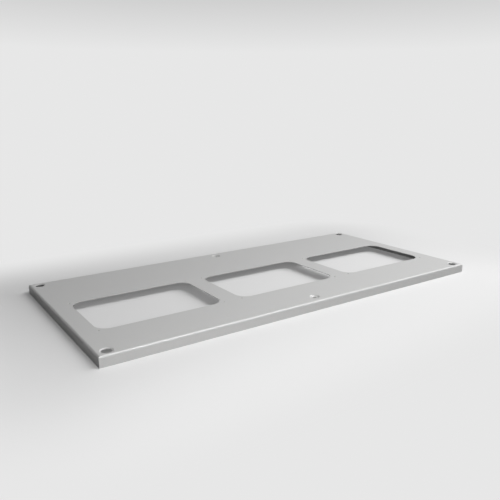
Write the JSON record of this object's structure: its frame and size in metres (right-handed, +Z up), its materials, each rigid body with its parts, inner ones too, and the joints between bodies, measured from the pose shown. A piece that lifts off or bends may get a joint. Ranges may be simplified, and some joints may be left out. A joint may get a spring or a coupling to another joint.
{
  "type": "enclosure roof plate",
  "caption": "Folded sheet-steel roof plate for a floor-standing enclosure, with a row of rounded cable-entry cut-outs, drawn fixing recesses and a foamed seal underneath.",
  "frame": {"origin": "centre of the plate's outline, level with the lower edges of the flanges that it rests on", "axes": "+X along the long side, +Y towards the wide margin at the back, +Z up, out of the painted top face"},
  "size_m": [1.2, 0.567, 0.026],
  "materials": {
    "painted_sheet": "light grey fine-textured powder coat",
    "sealing_foam": "matt foamed polyurethane",
    "coppered_steel": "copper-flashed weld stud"
  },
  "bodies": {
    "root": {"roof_plate": "painted_sheet", "sealing_bead": "sealing_foam", "earth_stud": "coppered_steel"}
  },
  "joints": []
}
